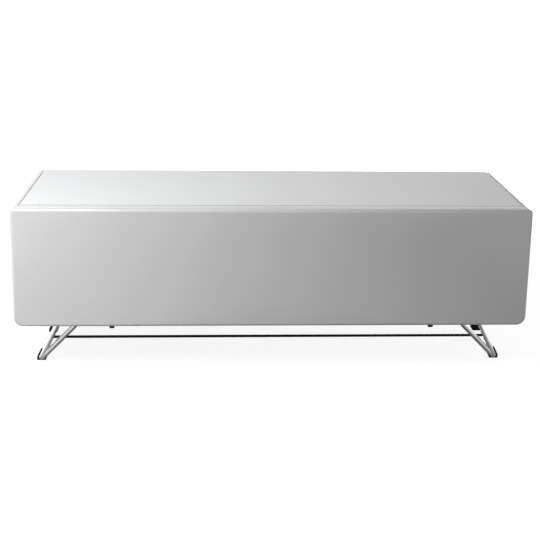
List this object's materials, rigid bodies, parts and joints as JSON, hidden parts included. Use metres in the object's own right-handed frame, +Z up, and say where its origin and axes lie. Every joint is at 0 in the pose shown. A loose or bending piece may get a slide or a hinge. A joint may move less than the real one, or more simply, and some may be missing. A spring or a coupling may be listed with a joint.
{
  "type": "tv stand",
  "caption": "Long low television cabinet in white gloss with a full-width drop front, inset glass top and splayed chrome V legs.",
  "frame": {"origin": "on the floor, under the middle of the cabinet", "axes": "+X across, to the right seen from the front; +Y from the front to the back; +Z up"},
  "size_m": [1.5, 0.45, 0.51],
  "materials": {
    "gloss_white": "white gloss lacquer on fibreboard",
    "inner_white": "white satin foil on particle board",
    "back_white": "white matte paint on fibreboard",
    "white_glass": "toughened glass painted white on its underside",
    "chrome_tube": "polished chrome plate on steel tube",
    "black_plastic": "black moulded plastic",
    "black_steel": "black powder coat on steel",
    "bright_steel": "bright zinc plate",
    "screw_steel": "zinc plate",
    "grey_plastic": "grey moulded plastic",
    "pale_plastic": "white moulded plastic",
    "clear_pad": "clear soft pad",
    "beech": "plain beech dowel"
  },
  "bodies": {
    "cabinet": {"side_left": "gloss_white", "side_right": "gloss_white", "bottom_panel": "gloss_white", "top_board": "gloss_white", "front_rail": "gloss_white", "centre_divider": "inner_white", "shelf_left": "inner_white", "shelf_right": "inner_white", "back_left": "back_white", "back_right": "back_white", "cable_grommets": "grey_plastic", "carcass_dowels": "beech", "shelf_pins": "screw_steel", "back_screws": "screw_steel", "glass_top": "white_glass", "glass_pads": "clear_pad", "front_bumpers": "clear_pad", "hinge_base_left": "black_steel", "hinge_base_right": "black_steel", "hinge_pins": "screw_steel", "carcass_screws": "screw_steel", "stay_damper_left": "grey_plastic", "stay_damper_right": "grey_plastic", "latch_body_left": "pale_plastic", "latch_body_right": "pale_plastic", "leg_front_left": "chrome_tube", "leg_front_right": "chrome_tube", "leg_rear_left": "chrome_tube", "leg_rear_right": "chrome_tube", "shoe_front_left": "black_plastic", "shoe_front_right": "black_plastic", "shoe_rear_left": "black_plastic", "shoe_rear_right": "black_plastic", "leg_plate_front_left": "black_steel", "leg_plate_front_right": "black_steel", "leg_plate_rear_left": "black_steel", "leg_plate_rear_right": "black_steel", "bar_front": "black_steel", "bar_rear": "black_steel", "bar_bolts": "screw_steel", "leg_screws": "screw_steel"},
    "front": {"drop_front": "gloss_white", "hinge_leaf_left": "black_steel", "hinge_leaf_right": "black_steel", "front_screws": "screw_steel", "stay_bracket_left": "bright_steel", "stay_bracket_right": "bright_steel", "latch_strikes": "bright_steel"},
    "arm_left": {"stay_arm_left": "bright_steel"},
    "arm_right": {"stay_arm_right": "bright_steel"},
    "link_left": {"stay_link_left": "bright_steel"},
    "link_right": {"stay_link_right": "bright_steel"},
    "plunger_left": {"latch_plunger_left": "grey_plastic"},
    "plunger_right": {"latch_plunger_right": "grey_plastic"}
  },
  "joints": [
    {"name": "front_hinge", "type": "hinge", "parent": "cabinet", "child": "front", "pos_m": [0, -0.2, 0.146], "axis": [1, 0, 0], "range_deg": [0, 90]},
    {"name": "stay_arm_left_pivot", "type": "hinge", "parent": "cabinet", "child": "arm_left", "pos_m": [-0.7162, -0.155, 0.197], "axis": [1, 0, 0], "range_deg": [0, 90.5]},
    {"name": "stay_link_left_pivot", "type": "hinge", "parent": "arm_left", "child": "link_left", "pos_m": [-0.7129, -0.149, 0.322], "axis": [1, 0, 0], "range_deg": [-90.5, 0]},
    {"name": "latch_left_slide", "type": "slide", "parent": "cabinet", "child": "plunger_left", "axis": [0, -1, 0], "range_m": [0, 0.02]},
    {"name": "stay_arm_right_pivot", "type": "hinge", "parent": "cabinet", "child": "arm_right", "pos_m": [0.7162, -0.155, 0.197], "axis": [1, 0, 0], "range_deg": [0, 90.5]},
    {"name": "stay_link_right_pivot", "type": "hinge", "parent": "arm_right", "child": "link_right", "pos_m": [0.7129, -0.149, 0.322], "axis": [1, 0, 0], "range_deg": [-90.5, 0]},
    {"name": "latch_right_slide", "type": "slide", "parent": "cabinet", "child": "plunger_right", "axis": [0, -1, 0], "range_m": [0, 0.02]}
  ],
  "couplings": [
    {"joint": "stay_arm_left_pivot", "follows": "front_hinge", "ratio": 1},
    {"joint": "stay_link_left_pivot", "follows": "front_hinge", "ratio": -1},
    {"joint": "latch_left_slide", "follows": "front_hinge", "m_per_rad": 0.0127},
    {"joint": "stay_arm_right_pivot", "follows": "front_hinge", "ratio": 1},
    {"joint": "stay_link_right_pivot", "follows": "front_hinge", "ratio": -1},
    {"joint": "latch_right_slide", "follows": "front_hinge", "m_per_rad": 0.0127}
  ]
}
